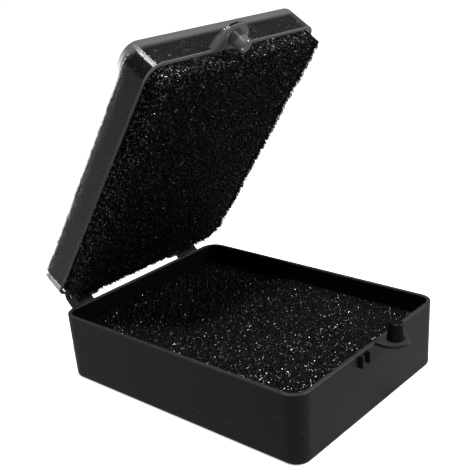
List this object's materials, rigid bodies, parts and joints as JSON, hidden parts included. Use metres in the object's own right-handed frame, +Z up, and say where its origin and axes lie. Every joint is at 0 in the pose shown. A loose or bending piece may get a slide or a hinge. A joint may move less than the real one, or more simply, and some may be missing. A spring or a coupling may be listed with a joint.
{
  "type": "wet palette",
  "caption": "Hinged palette box with a black tray, a clear lid, a foam pad in each half and a push-peg catch, shown open.",
  "frame": {"origin": "centre of the tray's underside, on the surface it stands on", "axes": "+Z up, -Y towards the catch, +Y towards the hinge, X along the hinge axis"},
  "size_m": [0.116, 0.1769, 0.1773],
  "materials": {
    "tray_plastic": "satin moulded",
    "lid_plastic": "clear moulded",
    "foam": "open-cell foam",
    "pin_steel": "plain"
  },
  "bodies": {
    "base": {"tray": "tray_plastic", "tray_foam": "foam", "hinge_pin_left": "pin_steel", "hinge_pin_right": "pin_steel"},
    "lid": {"lid": "lid_plastic", "lid_foam": "foam"}
  },
  "joints": [
    {"name": "lid_hinge", "type": "hinge", "parent": "base", "child": "lid", "pos_m": [0, 0.083, 0.0374], "axis": [-1, 0, 0], "range_deg": [-55.5, 124.5]}
  ]
}
